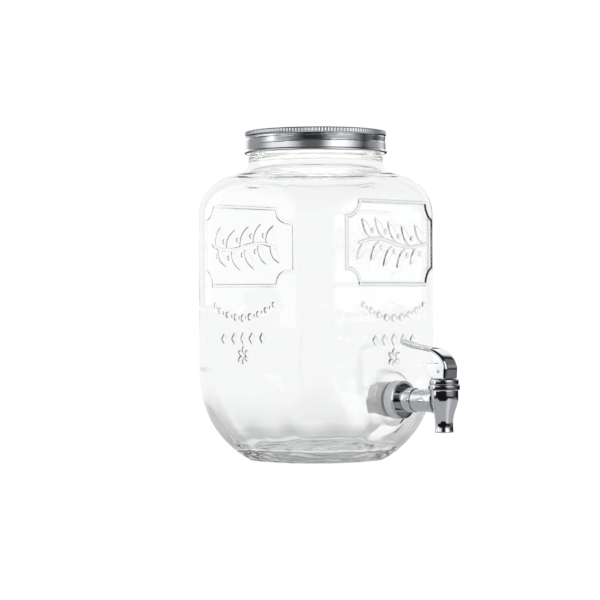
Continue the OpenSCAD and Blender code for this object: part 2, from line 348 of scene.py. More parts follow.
def jar_mesh():
    # columns: closer together on the front and back faces, where the ornament is
    def col(step_face, step_side, face_half):
        fine = np.linspace(-face_half, face_half, int(round(2 * face_half / step_face)) + 1)
        n = int(round((S_CORNER - face_half) / step_side))
        edge = np.linspace(face_half, S_CORNER, n + 1)[1:]
        face = np.concatenate([-edge[::-1], fine, edge])[:-1]          # a decorated quarter
        ce = int(round((S_CORNER - CC) / step_side))
        arc = np.linspace(CC, S_CORNER, ce + 1)
        side = np.concatenate([-arc[::-1], np.linspace(-CC, CC, 9)[1:-1], arc])[:-1]   # a plain quarter
        out = []
        for k, kind in enumerate(("side", "face", "side", "face")):     # +X, +Y, -X, -Y
            ss = face if kind == "face" else side
            for v in ss:
                out.append((k * math.pi / 2 + float(s_to_u(v)), float(v) if kind == "face" else None, k))
        return out
    cols = col(0.66, 2.3, 55.0)
    theta = np.array([c[0] for c in cols])
    s_loc = np.array([c[1] if c[1] is not None else 999.0 for c in cols])
    is_face = s_loc < 900
    front = np.array([c[2] == 3 for c in cols])
    # as seen from outside, s runs to the left on both faces, so it is turned round
    s_out = np.where(is_face, -s_loc, 999.0)

    rows = []
    z = 0.0

    def span(a, b, n, skip_first=True):
        return [a + (b - a) * i / n for i in range(1 if skip_first else 0, n + 1)]
    zs = [HEEL_Z * (1 - math.cos(math.radians(5.0 * i))) for i in range(0, 11)]   # 0 .. 23.6
    zs = zs + span(zs[-1], 72, 62) + span(72, 131, 82) + span(131, 202.6, 102)
    sh = [SH_Z + SH_R * math.sin(math.radians(a)) for a in np.linspace(23, 74, 24)]
    zs += [q for q in sh if q > zs[-1] + 0.2]
    prof = []
    for q in zs:
        if q < SH_Z:
            prof.append((q, heel_f(q, 0), heel_d(q, 0)))
        else:
            prof.append((q, sh_f(q, 0), sh_d(q, 0)))
    # a nearly straight slope, then the hollow curve up to the neck
    e_r, e_z = SH_C + SH_R * math.cos(math.radians(74)), SH_Z + SH_R * math.sin(math.radians(74))
    s_r, s_z = FIL_C - FIL_R * math.cos(math.radians(72)), FIL_Z - FIL_R * math.sin(math.radians(72))
    for i in range(1, 5):
        w = i / 5
        prof.append((e_z + (s_z - e_z) * w, e_r + (s_r - e_r) * w, e_r + (s_r - e_r) * w))
    for i in range(0, 10):
        a = math.radians(72 - i * 8)
        r = FIL_C - FIL_R * math.cos(a)
        prof.append((FIL_Z - FIL_R * math.sin(a), r, r))
    # neck: a low bead, a groove, then the finish with its screw ridge
    neck = fillet([(COLLAR_R, FIL_Z), (COLLAR_R + 0.2, FIL_Z + 0.5), (COLLAR_R + 0.2, FIL_Z + 2.1), (51.8, FIL_Z + 3.2), (51.8, FIL_Z + 4.4),
                   (52.3, FIL_Z + 5.1), (52.3, FIL_Z + 6.0), (NECK_R, FIL_Z + 7.0), (NECK_R, FIL_Z + 7.8)],
                  [0, 0.5, 0.9, 0.6, 0.6, 0.5, 0.6, 0.6, 0], 3)
    neck += [(NECK_R, q) for q in span(FIL_Z + 7.8, RIM_Z - 1.4, 20)]
    for r, q in neck[1:]:
        prof.append((q, r, r))
    rim = fillet([(NECK_R, RIM_Z - 1.4), (NECK_R, RIM_Z), (MOUTH_R, RIM_Z), (MOUTH_R, RIM_Z - 2)], [0, 1.3, 1.3, 0], 5)[1:]
    for r, q in rim:
        prof.append((q, r, r))
    verts, painted_shade = [], []
    ct, st = np.cos(theta), np.sin(theta)
    nrow = 0
    deg = np.degrees(theta)
    top_outer = len(prof) - len(rim)
    for k, (q, f, d) in enumerate(prof):
        r = rho(f, d, theta) if d - f > 1e-4 else np.full(len(theta), f)
        x, y = r * ct, r * st
        painted_shade_row = np.zeros(len(theta))
        if 74 < q < 204.5:
            sf, zf = np.where(is_face, s_out, 0.0), np.full(len(theta), q)
            hh = np.where(is_face, ornament(sf, zf), 0.0)
            # painted shade: the glass is greyed where the ornament is steep, less on the back face than the front
            gs = (ornament(sf + 0.25, zf) - ornament(sf - 0.25, zf)) / 0.5
            gz = (ornament(sf, zf + 0.25) - ornament(sf, zf - 0.25)) / 0.5
            painted_shade_row = np.where(is_face, np.clip(np.sqrt(gs ** 2 + gz ** 2), 0, 1) * np.where(front, 1.0, 0.35), 0.0)
            # outward normal of the mid section
            u = np.where(is_face, s_loc, 0.0)
            al = np.maximum(0, np.abs(u) - CC) / RC * np.sign(u)
            base = np.where(front, -math.pi / 2, math.pi / 2)
            x, y = x + hh * np.cos(base + al), y + hh * np.sin(base + al)
        if 22 < q < 72.5:
            # flat pad for the tap, run softly into the face and the curve below it
            pr = np.sqrt(x ** 2 + (q - TAP_Z) ** 2)
            drop = np.maximum(0.0, 77.8 + y)
            # crisp on one side, run out softly on the other
            lean = np.clip(-x / np.maximum(pr, 1e-3) * 1.3 + 0.15, 0, 1)
            w = np.clip((pr - 19.9) / (0.9 + 0.85 * drop + 11.0 * lean * lean), 0, 1)
            w = w * w * (3 - 2 * w)
            # painted shade: a dark arc on one side of the pad's upper rim, standing in for a dark reflection
            edge = np.clip(1 - np.abs(pr - 20.9) / 1.3, 0, 1) * np.clip((x - 1.5) / 4, 0, 1) * np.clip((q - TAP_Z - 12) / 3, 0, 1)
            painted_shade_row = np.where(front & (w < 1), np.maximum(painted_shade_row, edge * 1.3), painted_shade_row)
            y = np.where(front & (w < 1) & (np.abs(x) < 36), -(77.8 * (1 - w) - y * w), y)
        if 2 < q < 24:
            # painted shade: the heel's glass is greyed, a little more towards the corners
            side = np.clip((r - f) / max(d - f, 1e-3), 0, 1)
            painted_shade_row = np.maximum(painted_shade_row, (0.34 + 0.2 * side) * math.sin(math.pi * (q - 2) / 22))
        if 242 < q < RIM_Z - 1 and k < top_outer:
            # the screw ridge on the finish
            add = np.zeros(len(theta))
            for turn in range(0, 3):
                t = (deg % 360) + 360 * turn
                e = np.clip(np.minimum(t - 200, 650 - t) / 30, 0, 1)
                zz = 241.95 + PITCH * t / 360
                add = np.maximum(add, e * 1.55 * np.clip(1 - (np.abs(q - zz) / 1.45) ** 2.5, 0, 1))
            x, y = x + add * ct, y + add * st
        verts += list(zip(x, y, np.full(len(theta), q)))
        painted_shade += painted_shade_row.tolist()
        nrow += 1
    n = len(theta)
    faces = []
    for k in range(nrow - 1):
        a, b = k * n, (k + 1) * n
        faces += [(a + i, a + (i + 1) % n, b + (i + 1) % n, b + i) for i in range(n)]
    # the foot: from the outer surface in to the push-up
    foot = [(50.0 - 2.2, -0.0), (45.2, 0.0), (44.4, 0.15), (43.4, 0.8), (41.5, 1.7), (37, 2.3), (28, 2.85), (16, 3.1), (6, 3.2)]
    last = 0
    for r, q in foot:
        start = len(verts)
        verts += [(r * math.cos(t), r * math.sin(t), q) for t in theta]
        faces += [(last + (i + 1) % n, last + i, start + i, start + (i + 1) % n) for i in range(n)]
        last = start
    verts.append((0, 0, 3.2))
    faces += [(last + (i + 1) % n, last + i, len(verts) - 1) for i in range(n)]
    # the inside, joined at the mouth, with its own columns and few rows
    last = (nrow - 1) * n
    inner = [(q, MOUTH_R, MOUTH_R) for q in (252, 247, 243, 240)]
    in_r = FIL_R + WALL
    inner += [(237.5, 47.2, 47.2), (FIL_Z + 1.2, 48.2, 48.2), (FIL_Z, FIL_C - in_r, FIL_C - in_r)]
    for i in range(1, 10):
        a = math.radians(i * 8)
        r = FIL_C - in_r * math.cos(a)
        inner.append((FIL_Z - in_r * math.sin(a), r, r))
    ir, iz = inner[-1][1], inner[-1][0]
    jr, jz = SH_C + (SH_R - WALL) * math.cos(math.radians(74)), SH_Z + (SH_R - WALL) * math.sin(math.radians(74))
    inner += [(iz + (jz - iz) * k / 4, ir + (jr - ir) * k / 4, ir + (jr - ir) * k / 4) for k in range(1, 4)]
    for a in np.linspace(74, 0, 18):
        q = SH_Z + (SH_R - WALL) * math.sin(math.radians(a))
        inner.append((q, sh_f(q, WALL), sh_d(q, WALL)))
    inner += [(q, FACE - WALL, DIAG - WALL) for q in (170, 150, 130, 110, 95, 85, 79, 76, 74, 72, 70, 68)]
    FZ = 9.5
    inner += [(q, heel_f(q, WALL), heel_d(q, WALL)) for q in [66.0 - 1.9 * i for i in range(26)]]
    for i in range(1, 7):
        q = FZ + 2.2 + (18.5 - FZ - 2.2) * (1 - i / 6) ** 1.5
        inner.append((q, heel_f(q, WALL), heel_d(q, WALL)))
    f1, d1 = inner[-1][1], inner[-1][2]
    for i in range(1, 6):
        a = math.radians(18 * i)
        inner.append((FZ + 2.2 - 2.2 * math.sin(a) * 0.9, f1 - 4.4 * (1 - math.cos(a)), d1 - 4.4 * (1 - math.cos(a))))
    f2 = inner[-1][1]
    for i in range(1, 26):
        r = 1 - i * 0.0375
        inner.append((9.55 + 1.5 * (1 - r) ** 1.3, f2 * r, f2 * r * (1.0 + 0.07 * r)))
    # the inside has fewer columns
    k_in = []
    m = int(round(2 * S_CORNER / 2.9))
    for k in range(4):
        k_in += [k * math.pi / 2 + float(s_to_u(v)) for v in np.linspace(-S_CORNER, S_CORNER, m + 1)[:-1]]
    outer_theta, outer_start = theta, last
    theta = np.array(k_in)
    front = np.cos(theta + math.pi / 2) > 0.7
    n = len(theta)
    first_in = True
    rng = np.random.default_rng(7)
    ph = rng.uniform(0, 2 * math.pi, 6)
    for q, f, d in inner:
        r = rho(f, d, theta) if d - f > 1e-4 else np.full(n, f)
        if q < 228:
            # the inside of moulded glass is a little uneven
            amp = 0.1 if q > 70 else 0.3
            wob = (np.sin(3 * theta + ph[0] + q * 0.031) + 0.7 * np.sin(5 * theta + ph[1] - q * 0.05)
                   + 0.5 * np.sin(9 * theta + ph[2] + q * 0.09)) * amp
            r = r - np.abs(wob) * np.clip((190 - q) / 30, 0, 1) * min(1.0, f / 40)
        dz = 0.0
        if q < 14:
            k3 = min(1.0, f / 30)
            xx, yy = r * np.cos(theta), r * np.sin(theta)
            # chill waves left by the press: bent streaks
            ph1 = xx * 0.30 + yy * 0.36 + 1.6 * np.sin(yy * 0.055 - xx * 0.07)
            ph2 = xx * 0.17 + yy * 0.66 + 2.2 * np.sin(xx * 0.06 + 0.6)
            dz = (0.30 * np.sin(2 * theta + ph[3]) * k3 + 0.26 * np.sin(ph1) + 0.14 * np.sin(ph2) + 0.12 * np.sin(f * 0.52) * k3)
            dz = dz * np.clip((14 - q) / 2.5, 0, 1)
        start = len(verts)
        x, y = r * np.cos(theta), r * np.sin(theta)
        if 20 < q < 80:
            # flat seat for the tap's inner washer
            pr = np.sqrt(x ** 2 + (q - TAP_Z) ** 2)
            k2 = np.clip((29.0 - pr) / 14.0, 0, 1)
            k2 = k2 * k2 * (3 - 2 * k2)
            y = np.where(front & (pr < 29.0), y + (-72.1 - y) * k2, y)
        verts += list(zip(x, y, np.full(n, q) + dz))
        if first_in:
            first_in = False
            # stitch the mouth's last ring to the first ring of the inside
            no, i, j = len(outer_theta), 0, 0
            j0 = int(np.argmin(np.abs((theta - outer_theta[0] + math.pi) % (2 * math.pi) - math.pi)))
            ang = lambda arr, k, base: (arr[k % len(arr)] - base + 1e-9) % (2 * math.pi) + 2 * math.pi * (k // len(arr))
            base = outer_theta[0]
            tj = [((theta[(j0 + k) % n] - base + math.pi) % (2 * math.pi) - math.pi) if k == 0 else None for k in range(1)][0]
            to = [((outer_theta[k % no] - base) % (2 * math.pi)) + (2 * math.pi if k == no else 0) for k in range(no + 1)]
            ti = [tj + ((theta[(j0 + k) % n] - theta[j0]) % (2 * math.pi)) + (2 * math.pi if k == n else 0) for k in range(n + 1)]
            while i < no or j < n:
                if j == n or (i < no and to[i + 1] <= ti[j + 1]):
                    faces.append((outer_start + i % no, outer_start + (i + 1) % no, start + (j0 + j) % n))
                    i += 1
                else:
                    faces.append((outer_start + i % no, start + (j0 + j + 1) % n, start + (j0 + j) % n))
                    j += 1
        else:
            faces += [(last + i, last + (i + 1) % n, start + (i + 1) % n, start + i) for i in range(n)]
        last = start
    verts.append((0, 0, 11.1))
    faces += [(last + i, last + (i + 1) % n, len(verts) - 1) for i in range(n)]
    ob = obj_from("jar_glass", verts, faces, None)
    # painted shade at each point, for the glass: the ornament's steep sides, a rim of the tap's pad and the heel
    painted_shade += [0.0] * (len(verts) - len(painted_shade))
    if len(ob.data.vertices) != len(painted_shade):
        raise RuntimeError("the jar's points changed")
    at = ob.data.attributes.new("painted_shade", "FLOAT", "POINT")
    at.data.foreach_set("value", painted_shade)
    return ob


jar = jar_mesh()
# the hole for the tap's shank
hole = lathe("cut_hole", [(0, 60), (8.0, 60), (8.0, 90), (0, 90)], 96, inlet)
boolean(jar, hole, "DIFFERENCE", 60)
# the painted shade attribute has to come through the boolean
if "painted_shade" not in jar.data.attributes:
    raise RuntimeError("the ornament's tone was lost")

# ------------------------------------------------------------------ lid


def lid_band_mesh():
    n = 864
    teeth = 144
    # outer profile from the bottom curl up, then over the top and down the inside
    low = fillet([(53.9, 239.8), (54.2, 239.4), (55.5, 239.4), (56.0, 240.1), (55.9, 240.9), (55.0, 241.5), (54.85, 242.2)],
                 [0, 0.2, 0.4, 0.5, 0.5, 0.4, 0], 4)
    mid = [(54.85, 242.2 + (252.6 - 242.2) * i / 34) for i in range(1, 35)]
    rim = [(55.0, 252.9), (55.25, 253.2), (55.4, 253.7), (55.4, 254.4), (55.4, 255.1), (55.4, 255.8), (55.25, 256.35), (54.9, 256.75), (54.4, 256.95), (53.6, 257.0)]
    top = fillet([(53.6, 257.0), (49.2, 257.0), (48.5, 256.7), (48.7, 256.5), (53.2, 256.5), (53.9, 255.8)], [0, 0.4, 0.1, 0.1, 0.6, 0], 3)[1:]
    inside = [(53.9, 255.8 + (244 - 255.8) * i / 20) for i in range(1, 21)] + [(53.9, 241.5)]
    prof = low + mid + rim + top + inside
    m_out = len(low) + len(mid) + len(rim)
    th = np.arange(n) * 2 * math.pi / n
    deg = np.degrees(th)
    verts = []
    for k, (r, q) in enumerate(prof):
        rr = np.full(n, float(r))
        if k < m_out:
            # rolled thread: a groove outside
            g = np.zeros(n)
            for turn in range(3):
                t = deg + 360 * turn
                e = np.clip(np.minimum(t - 160, 690 - t) / 26, 0, 1)
                zz = 244.2 + PITCH * t / 360
                # a sharp step at the bottom of the rolled thread, then a slope back out above it
                up = q - zz
                g = np.maximum(g, e * 0.55 * np.where(up < 0, np.clip(1 + up / 0.5, 0, 1), np.clip(1 - up / 4.2, 0, 1)))
            if q < 253.4:
                rr = rr - g
            # knurl on the rim
            if 253.0 < q < 256.9:
                w = math.sin(math.pi * (q - 252.9) / 4.2) ** 0.6
                rr = rr - 0.42 * w * (0.5 - 0.5 * np.cos(teeth * th)) ** 0.8
        elif 244 <= q <= 254.6 and r > 53:
            g = np.zeros(n)
            for turn in range(3):
                t = deg + 360 * turn
                e = np.clip(np.minimum(t - 160, 690 - t) / 26, 0, 1)
                zz = 244.2 + PITCH * t / 360
                g = np.maximum(g, e * 2.0 * np.clip(1 - (np.abs(q - zz) / 1.35) ** 2, 0, 1))
            rr = rr - g
        verts += list(zip(rr * np.cos(th), rr * np.sin(th), np.full(n, q)))
    faces = []
    m = len(prof)
    for k in range(m):
        a, b = k * n, ((k + 1) % m) * n
        faces += [(a + i, a + (i + 1) % n, b + (i + 1) % n, b + i) for i in range(n)]
    return obj_from("screw_band", verts, faces, 40)


band = lid_band_mesh()


def lining(ob, test):
    """Second material slot for the lacquered inside."""
    for p in ob.data.polygons:
        p.material_index = 1 if test(p.center / MM, p.normal) else 0


disc = lathe("closure_disc", fillet([(0, 255.85), (53.2, 255.85), (53.2, 256.4), (47.0, 256.4), (45.6, 256.82), (40.5, 256.82), (39.8, 256.55),
                                     (38.8, 256.55), (38.1, 256.82), (12.8, 256.82), (12.2, 256.6), (11.4, 256.6), (10.8, 256.82), (0, 256.82)],
                                    [0, 0.2, 0.2, 0.8, 0.8, 0.5, 0.3, 0.3, 0.5, 0.5, 0.3, 0.3, 0.5, 0], 3), 192, angle=60)
seal = lathe("closure_seal", fillet([(45.9, 254.8), (51.0, 254.8), (51.0, 255.8), (45.9, 255.8)], [0.4, 0.4, 0, 0], 3), 160)

# ------------------------------------------------------------------ tap

shank = lathe("shank_flange", fillet(
    [(4.5, 54.6), (7.0, 54.6), (7.6, 55.2)], [0, 0.2, 0], 2)
    + [(rr, 55.2 + 0.3 + i * 2.2 + dz) for i in range(11) for rr, dz in ((7.6, 0.3), (6.95, 0.85), (6.95, 1.15), (7.6, 1.7))]
    + fillet([(7.6, 84.7), (7.6, 85.5), (14.45, 85.5), (14.45, 87.2), (14.2, 87.55), (13.85, 87.45), (13.25, 86.75), (12.6, 86.7), (11.4, 86.7), (10.2, 86.7), (9.55, 86.7), (9.35, 86.7), (9.35, 98.2), (8.9, 98.25), (7.2, 98.25), (7.2, 90), (4.5, 90)],
             [0, 0.2, 0.3, 0.3, 0.2, 0.2, 0.25, 0.2, 0, 0, 0, 0, 0.15, 0.1, 0.2, 0, 0], 4), 160, inlet)
w_out = lathe("washer_outer", fillet([(8.1, 77.85), (14.55, 77.85), (14.6, 85.45), (8.1, 85.45)], [0, 1.1, 0.9, 0], 5), 128, inlet)
w_in = lathe("washer_inner", fillet([(7.9, 65.6), (13.2, 65.6), (13.4, 72.05), (7.9, 72.05)], [0.3, 0.9, 0.6, 0.3], 4), 96, inlet)


def nut_mesh():
    a0, a1 = 57.0, 65.55
    ob = lathe("nut", [(7.72, a0), (11.7, a0), (11.7, a1), (7.72, a1)], 6, inlet)
    bpy.data.objects.remove(ob)
    hexo = lathe("nut_lock", [(0, a0), (11.7, a0), (11.7, a1), (0, a1)], 6, inlet)
    cone = lathe("c1", fillet([(0, a0), (10.2, a0), (11.9, a0 + 1.1), (11.9, a1), (0, a1)], [0, 0.3, 0.3, 0, 0], 4), 96, inlet)
    boolean(hexo, cone, "INTERSECT")
    cut = lathe("c2", fillet([(0, a0 - 1), (8.4, a0 - 1), (8.4, a0), (7.72, a0 + 0.7), (7.72, a1 + 1), (0, a1 + 1)], 0), 96, inlet)
    boolean(hexo, cut, "DIFFERENCE", 30)
    return hexo


nut = nut_mesh()


def body_mesh():
    flank = spline([(6.72, 29.0), (6.7, 32.8), (6.95, 35.2), (7.5, 38.2), (8.55, 41.8), (9.7, 45.2), (10.42, 48.2), (10.68, 50.8), (10.7, 56.0)], 5)
    b = lathe("body_tap", fillet([(4.5, 24.9), (6.75, 24.9), (7.05, 25.4)], [0.3, 0.35, 0], 4)
              + spline([(7.05, 25.4), (6.86, 27.0), (6.72, 29.0)], 3)[1:-1] + flank
              + fillet([(10.7, 56.1), (10.7, 56.55), (9.3, 56.6), (9.3, 60.6), (7.6, 60.6), (7.6, 43.5), (4.5, 43.5)], [0, 0.3, 0, 0.2, 0.2, 0.3, 0.3], 4)[1:], 192, barrel, 40)
    # the tube flares a little where it runs into the barrel
    t = lathe("tube", fillet([(4.5, 90.3), (7.1, 90.3), (7.1, 93.2), (5.8, 93.2), (5.8, 94.8), (7.1, 94.8), (7.1, 98.35), (8.6, 98.35), (8.6, 99.4)],
                             [0.2, 0.4, 0.1, 0.1, 0.1, 0.1, 0.1, 0.35, 0], 4)
              + [(8.6, 104), (8.6, 110.6), (8.62, 112), (8.75, 113.4), (9.05, 114.6), (9.5, 115.6), (9.5, 118.2), (4.5, 118.2)], 160, inlet, 40)
    core = lathe("core", [(0, 43.52), (7.6, 43.52), (7.6, 70), (0, 70)], 128, barrel)
    boolean(b, t, "UNION", 40)
    boolean(b, core, "DIFFERENCE", 40)
    notch = lathe("notch", [(9.32, 56.6), (12.2, 56.6), (12.2, 62), (9.32, 62)], 128, barrel)
    boolean(b, notch, "DIFFERENCE", 40)
    bore = lathe("bore", [(0, 80), (4.5, 80), (4.5, 118), (0, 118)], 96, inlet)
    boolean(b, bore, "DIFFERENCE", 40)
    return b


body = body_mesh()
collar = lathe("collar_ring", fillet([(9.6, 56.65), (11.55, 56.65), (11.85, 57.2), (11.85, 60.2), (11.5, 60.85), (9.6, 60.85)],
                                     [0, 0.3, 0.4, 0.5, 0.3, 0], 4), 160, barrel)
bonnet = lathe("bonnet_cap", fillet([(1.8, 55.2), (3.45, 55.2), (3.45, 53.5), (7.5, 53.5), (7.5, 60.92), (10.85, 60.92), (11.0, 61.4), (11.0, 64.3), (10.4, 65.05), (1.8, 65.1)],
                                    [0, 0, 0, 0.2, 0, 0.2, 0.3, 0.8, 0.5, 0.2], 5), 160, barrel)

# ------------------------------------------------------------------ lever

LEG = BARREL + 7.7
FOOT = 65.4


def bez(a, b, c, d, t):
    return tuple((1 - t) ** 3 * a[i] + 3 * (1 - t) ** 2 * t * b[i] + 3 * (1 - t) * t * t * c[i] + t ** 3 * d[i] for i in range(2))


def path(n1=34, n2=30, n3=8):
    p = [bez((86.2, 94.6), (93, 91.2), (106, 89.4), (117.3, 87.9), i / n1) for i in range(n1)]
    p += [bez((117.3, 87.9), (125, 86.3), (LEG - 0.6, 80.5), (LEG, 73), i / n2) for i in range(n2)]
    p += [(LEG - 0.42 * (i / n3), 73 + (FOOT + 0.3 - 73) * i / n3) for i in range(n3 + 1)]
    return p


def lever_mesh():
    p = [np.array(x) for x in path()]
    n = len(p)
    seg = [0.0]
    for i in range(1, n):
        seg.append(seg[-1] + float(np.linalg.norm(p[i] - p[i - 1])))
    # closer stations at the rounded tip
    at = [6.9 * (1 - math.cos(math.radians(90 * i / 14))) for i in range(15)]
    at += [x for x in seg if x > 7.1]
    S = np.array(seg)
    P = np.array(p)
    sec_n = 7
    verts, rows = [], []
    total = seg[-1]
    for s in at:
        c = np.array([np.interp(s, S, P[:, 0]), np.interp(s, S, P[:, 1])])
        e = 0.4
        c1 = np.array([np.interp(min(s + e, total), S, P[:, 0]), np.interp(min(s + e, total), S, P[:, 1])])
        c0 = np.array([np.interp(max(s - e, 0), S, P[:, 0]), np.interp(max(s - e, 0), S, P[:, 1])])
        t = (c1 - c0) / np.linalg.norm(c1 - c0)
        nrm = np.array([-t[1], t[0]])            # outwards: up over the arm, away from the jar on the leg
        if nrm @ np.array([0.5, 1.0]) < 0:
            nrm = -nrm
        half = 7.85
        rt = 6.6
        if s < rt:
            half = 7.85 - rt + math.sqrt(max(0.0, rt * rt - (rt - s) ** 2))
            half = max(half, 1.3)
        thick = np.interp(s, [0, 2.5, 12, 30, 44], [0.9, 1.5, 2.1, 2.2, 2.5])
        if s < 1.2:
            thick *= 0.55 + 0.45 * math.sqrt(max(0.0, 1 - (1 - s / 1.2) ** 2))
        # crown: the outer face bulges a little across its width, and its edges are rolled
        crown = np.interp(s, [0, 3, 8, 24, 34, 44, total], [0.0, -0.1, -0.55, -0.5, 0.0, 0.15, 0.05])
        edge = min(np.interp(s, [0, 10, 28, 42, total], [0.35, 1.0, 1.1, 2.5, 2.6]), half * 0.5)
        top = []
        m = 9
        for j in range(-m, m + 1):
            x = j / m * (half - edge)
            top.append((x, min(0.0, crown) - crown * (x / half) ** 2))
        yt = -crown
        y_in = min(0.0, crown)
        rounded = []
        k = 7
        ry = min(edge * 0.9, thick * 0.85)
        for j in range(1, k + 1):
            a = math.radians(90 * j / k)
            rounded.append((half - edge + edge * math.sin(a), y_in + yt * ((half - edge) / half) ** 2 - ry * (1 - math.cos(a))))
        right = rounded
        left = [(-x, y) for x, y in reversed(rounded)]
        lowr = [(half - 0.06, -thick + 0.25), (half - 0.3, -thick)]
        lowl = [(-x, y) for x, y in reversed(lowr)]
        sec = left + top + right + lowr + [(0.0, -thick)] + lowl
        row = []
        for x, y in sec:
            w = c + nrm * y
            row.append(len(verts))
            verts.append((x, -w[0], w[1]))
        rows.append(row)
    m = len(rows[0])
    faces = [list(rows[0]), list(reversed(rows[-1]))]
    for a, b in zip(rows, rows[1:]):
        faces += [[a[i], a[(i + 1) % m], b[(i + 1) % m], b[i]] for i in range(m)]
    strip = obj_from("lever_chrome", verts, faces, 40)

    pts = path(10, 10, 2)
    off = []
    for i, c in enumerate(pts):
        a, b = pts[max(i - 1, 0)], pts[min(i + 1, len(pts) - 1)]
        t = np.array([b[0] - a[0], b[1] - a[1]])
        t /= np.linalg.norm(t)
        nn = np.array([t[1], -t[0]])
        if nn @ np.array([-0.5, -1.0]) < 0:
            nn = -nn
        off.append(tuple(np.array(c) + nn * 0.9))
    outer = [q for q in off if q[0] > 111.5]
    outer = [(a, max(z, FOOT)) for a, z in outer]
    fork = [(123.4, FOOT)] + [(123.4 - 9.6 * math.sin(math.radians(a)), FOOT + 6.6 - 6.6 * math.cos(math.radians(a))) for a in range(10, 91, 10)]
    under = [bez((124.6, 76.8), (121.5, 79.4), (118.6, 85.4), (110.4, 87.4), i / 12) for i in range(0, 13)]
    web = outer + [(outer[-1][0], FOOT)] + fork + [(113.8, 76.8)] + under
    clean = [web[0]]
    for q in web[1:]:
        if math.dist(q, clean[-1]) > 0.05:
            clean.append(q)
    webo = prism("web", clean, 13.9, 0.8, 4)
    boolean(strip, webo, "UNION", 40)
    slot = box_obj("slot", (-2.2, -130.2, 60), (2.2, -110.2, 78.4))
    boolean(strip, slot, "DIFFERENCE", 40)
    pin = lathe("pinhole", [(0, -20), (1.3, -20), (1.3, 20), (0, 20)], 48, lambda x, y, h: (h, x - BARREL, 71 + y))
    boolean(strip, pin, "DIFFERENCE", 40)
    m = strip.modifiers.new("w", "WEIGHTED_NORMAL")
    m.weight = 100
    m.keep_sharp = True
    bpy.context.view_layer.update()
    bake(strip)
    return strip


lever = lever_mesh()
pin = lathe("pin_lever", fillet([(0, -6.8), (1.25, -6.8), (1.25, 6.8), (0, 6.8)], [0, 0.3, 0.3, 0], 3), 48, lambda x, y, h: (h, x - BARREL, 71 + y))

# ------------------------------------------------------------------ spring


def spring_mesh():
    wire, r, turns, n, k = 0.4, 4.9, 4.5, 160, 10
    z0, z1 = 47.4 + wire + 0.03, 53.5 - wire - 0.03
    verts, faces = [], []
    for i in range(n + 1):
        u = i / n
        t = u * turns * 2 * math.pi
        z = z0 + (z1 - z0) * (u - 0.07 * math.sin(4 * math.pi * u))
        for j in range(k):
            b = 2 * math.pi * j / k
            rr = r + wire * math.cos(b)
            verts.append(barrel(rr * math.cos(t), rr * math.sin(t), z + wire * math.sin(b)))
    for i in range(n):
        a, b = i * k, (i + 1) * k
        faces += [[a + j, a + (j + 1) % k, b + (j + 1) % k, b + j] for j in range(k)]
    faces += [list(range(k)), list(range(n * k, n * k + k))]
    return obj_from("coil_return", verts, faces, 60)


coil = spring_mesh()

# ------------------------------------------------------------------ materials


def new_mat(name):
    m = bpy.data.materials.new(name)
    m.use_nodes = True
    nt = m.node_tree
    nt.nodes.clear()
    out = nt.nodes.new("ShaderNodeOutputMaterial")
    p = nt.nodes.new("ShaderNodeBsdfPrincipled")
    nt.links.new(p.outputs[0], out.inputs[0])
    tc = nt.nodes.new("ShaderNodeTexCoord")
    return m, nt, p, tc, out


def noise(nt, tc, scale, detail=3.0, rough=0.5, stretch=None):
    n = nt.nodes.new("ShaderNodeTexNoise")
    n.inputs["Scale"].default_value = scale
    n.inputs["Detail"].default_value = detail
    n.inputs["Roughness"].default_value = rough
    if stretch:
        mp = nt.nodes.new("ShaderNodeMapping")
        mp.inputs["Scale"].default_value = stretch
        nt.links.new(tc.outputs["Object"], mp.inputs[0])
        nt.links.new(mp.outputs[0], n.inputs["Vector"])
    else:
        nt.links.new(tc.outputs["Object"], n.inputs["Vector"])
    return n


def ramp(nt, fac, stops):
    r = nt.nodes.new("ShaderNodeValToRGB")
    e = r.color_ramp.elements
    e[0].position, e[0].color = stops[0][0], stops[0][1]
    e[1].position, e[1].color = stops[-1][0], stops[-1][1]
    for p, c in stops[1:-1]:
        x = e.new(p)
        x.color = c
    nt.links.new(fac, r.inputs[0])
    return r


def span_map(nt, fac, lo, hi):
    m = nt.nodes.new("ShaderNodeMapRange")
    m.inputs["To Min"].default_value = lo
    m.inputs["To Max"].default_value = hi
    nt.links.new(fac, m.inputs[0])
    return m


def bump(nt, p, height, strength, dist):
    b = nt.nodes.new("ShaderNodeBump")
    b.inputs["Strength"].default_value = strength
    b.inputs["Distance"].default_value = dist
    nt.links.new(height, b.inputs["Height"])
    nt.links.new(b.outputs[0], p.inputs["Normal"])
    return b


